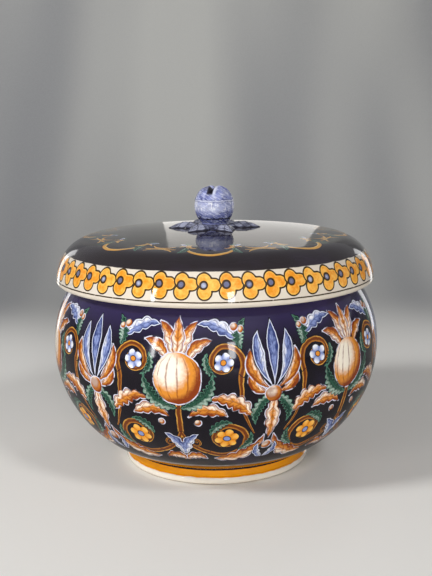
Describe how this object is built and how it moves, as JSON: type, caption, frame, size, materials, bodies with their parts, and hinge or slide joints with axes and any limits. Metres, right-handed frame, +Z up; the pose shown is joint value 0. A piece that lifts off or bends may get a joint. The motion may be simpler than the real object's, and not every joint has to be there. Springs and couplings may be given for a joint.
{
  "type": "candy jar",
  "caption": "Round glazed earthenware candy jar: a globular bowl on a foot ring, with a low domed lid that lifts off by a fruit finial set in leaves.",
  "frame": {"origin": "centre of the foot ring's underside, on the surface that the jar stands on", "axes": "+Z up through the finial; +X to the right and -Y towards the viewer in the picture"},
  "size_m": [0.164, 0.164, 0.1395],
  "materials": {
    "cobalt_glaze": "gloss",
    "ochre_glaze": "gloss",
    "white_glaze": "gloss",
    "fruit_glaze": "gloss",
    "leaf_glaze": "gloss"
  },
  "bodies": {
    "jar": {"bowl": "cobalt_glaze", "foot_ring": "ochre_glaze"},
    "lid": {"lid_shell": "cobalt_glaze", "locating_flange": "white_glaze", "finial_stem": "leaf_glaze", "finial_fruit": "fruit_glaze", "leaf_1": "leaf_glaze", "leaf_2": "leaf_glaze", "leaf_3": "leaf_glaze", "leaf_4": "leaf_glaze", "leaf_5": "leaf_glaze", "leaf_6": "leaf_glaze"}
  },
  "joints": [
    {"name": "lid_lift", "type": "slide", "parent": "jar", "child": "lid", "axis": [0, 0, 1], "range_m": [0, 0.12]}
  ]
}
